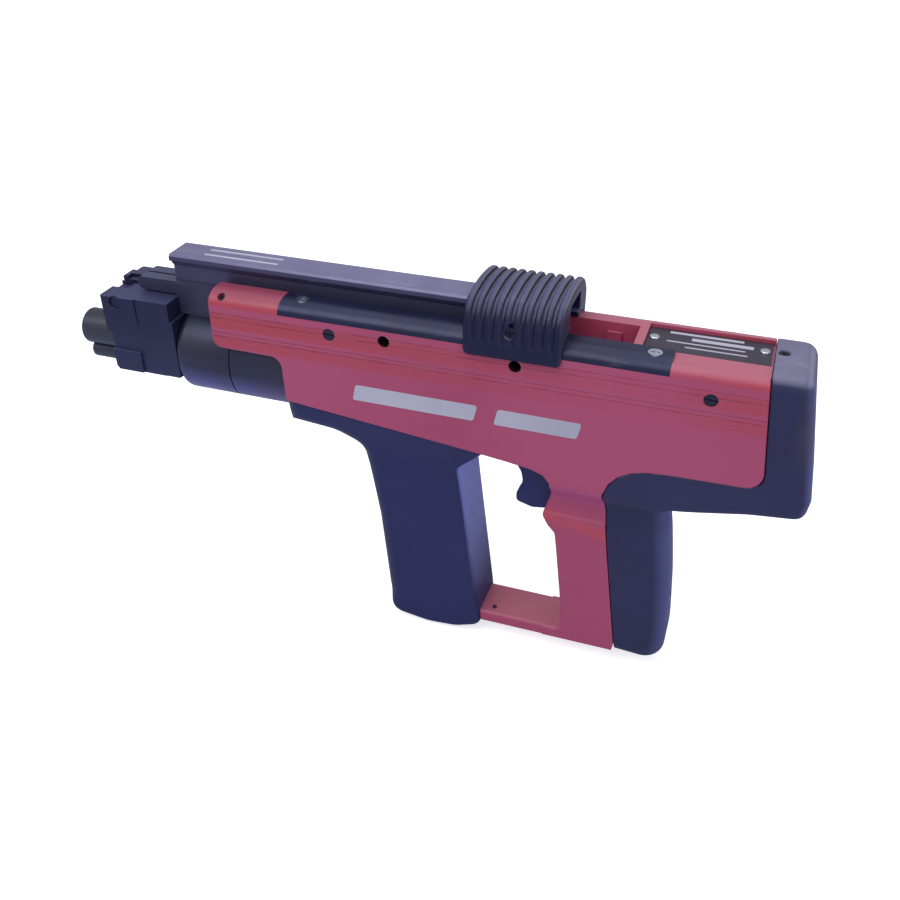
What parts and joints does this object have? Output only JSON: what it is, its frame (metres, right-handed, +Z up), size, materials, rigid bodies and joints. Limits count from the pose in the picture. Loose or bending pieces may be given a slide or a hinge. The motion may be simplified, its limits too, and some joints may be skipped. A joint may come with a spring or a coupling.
{
  "type": "powder-actuated nail gun",
  "caption": "Pistol-grip powder-actuated nail gun with sliding barrel unit, ribbed cycling grip on a top rail, front cartridge-strip grip and rubber butt pad.",
  "frame": {"origin": "centre of the muzzle face, on the barrel axis", "axes": "+X rearward along the barrel axis (the muzzle points to -X), +Z up, -Y is the operator's left side, which carries the guide strip"},
  "size_m": [0.471, 0.063, 0.2557],
  "materials": {
    "red_paint": "satin",
    "strip_black": "satin black anodised",
    "screw_zinc": "zinc plated",
    "screw_black": "blackened",
    "plate_black": "satin black",
    "rubber_black": "matte",
    "grip_plastic": "fine satin",
    "grip_ribbed": "satin",
    "trigger_plastic": "satin",
    "steel_internal": "ground",
    "spring_steel": "bright",
    "brass": "satin",
    "strip_plastic": "gloss",
    "blued_steel": "blued",
    "block_black": "black oxide",
    "rail_black": "black anodised",
    "buffer_rubber": "matte"
  },
  "bodies": {
    "housing": {"main_housing": "red_paint", "guide_strip": "strip_black", "guide_strip_screws": "screw_zinc", "housing_side_screws": "screw_black", "front_set_screws": "screw_black", "name_plate": "plate_black", "name_plate_rivets": "screw_zinc", "butt_pad": "rubber_black", "butt_pad_screws": "screw_black", "front_grip": "grip_plastic", "guard_bar_pin": "screw_black", "breech_block": "steel_internal", "firing_spring": "spring_steel", "rear_plug": "steel_internal", "trigger_pin": "steel_internal", "trigger_spring": "spring_steel", "sear_pin": "steel_internal", "sear_spring": "spring_steel", "feed_pawl_pin": "steel_internal", "feed_pawl_spring": "spring_steel"},
    "barrel_unit": {"nose_tube": "blued_steel", "nose_plunger": "blued_steel", "nose_block": "block_black", "nose_latch_pin": "block_black", "nose_latch_spring": "spring_steel", "barrel_collar": "blued_steel", "barrel_sleeve": "blued_steel", "piston_guide": "steel_internal", "piston_buffer": "buffer_rubber", "stop_ring": "steel_internal", "rail_bracket": "block_black", "rail_bracket_pins": "steel_internal", "rail": "rail_black", "cycling_grip": "grip_ribbed", "cycling_grip_screws": "screw_black"},
    "piston": {"piston": "steel_internal", "piston_rings": "spring_steel"},
    "firing_pin": {"firing_pin": "steel_internal"},
    "trigger": {"trigger": "trigger_plastic"},
    "sear": {"sear": "steel_internal"},
    "cartridge_strip": {"cartridge_strip": "strip_plastic", "cartridges": "brass"},
    "feed_pawl": {"feed_pawl": "steel_internal"},
    "nose_latch": {"nose_latch": "block_black"}
  },
  "joints": [
    {"name": "cycling_slide", "type": "slide", "parent": "housing", "child": "barrel_unit", "axis": [1, 0, 0], "range_m": [-0.1, 0.018]},
    {"name": "piston_stroke", "type": "slide", "parent": "barrel_unit", "child": "piston", "axis": [1, 0, 0], "range_m": [-0.092, 0]},
    {"name": "firing_pin_travel", "type": "slide", "parent": "housing", "child": "firing_pin", "axis": [1, 0, 0], "range_m": [0, 0.012]},
    {"name": "trigger_pull", "type": "hinge", "parent": "housing", "child": "trigger", "pos_m": [0.321, 0, -0.028], "axis": [0, 1, 0], "range_deg": [-8, 0]},
    {"name": "sear_release", "type": "hinge", "parent": "housing", "child": "sear", "pos_m": [0.338, 0, -0.017], "axis": [0, 1, 0], "range_deg": [-15, 0]},
    {"name": "strip_feed", "type": "slide", "parent": "housing", "child": "cartridge_strip", "axis": [0, 0, 1], "range_m": [0, 0.0495]},
    {"name": "feed_pawl_rock", "type": "hinge", "parent": "housing", "child": "feed_pawl", "pos_m": [0.256, 0, -0.056], "axis": [0, 1, 0], "range_deg": [0, 10]},
    {"name": "nose_latch_rock", "type": "hinge", "parent": "barrel_unit", "child": "nose_latch", "pos_m": [0.0416, 0, 0.0327], "axis": [0, 1, 0], "range_deg": [-12, 0]}
  ],
  "couplings": [
    {"joint": "sear_release", "follows": "trigger_pull", "ratio": 1.85}
  ]
}
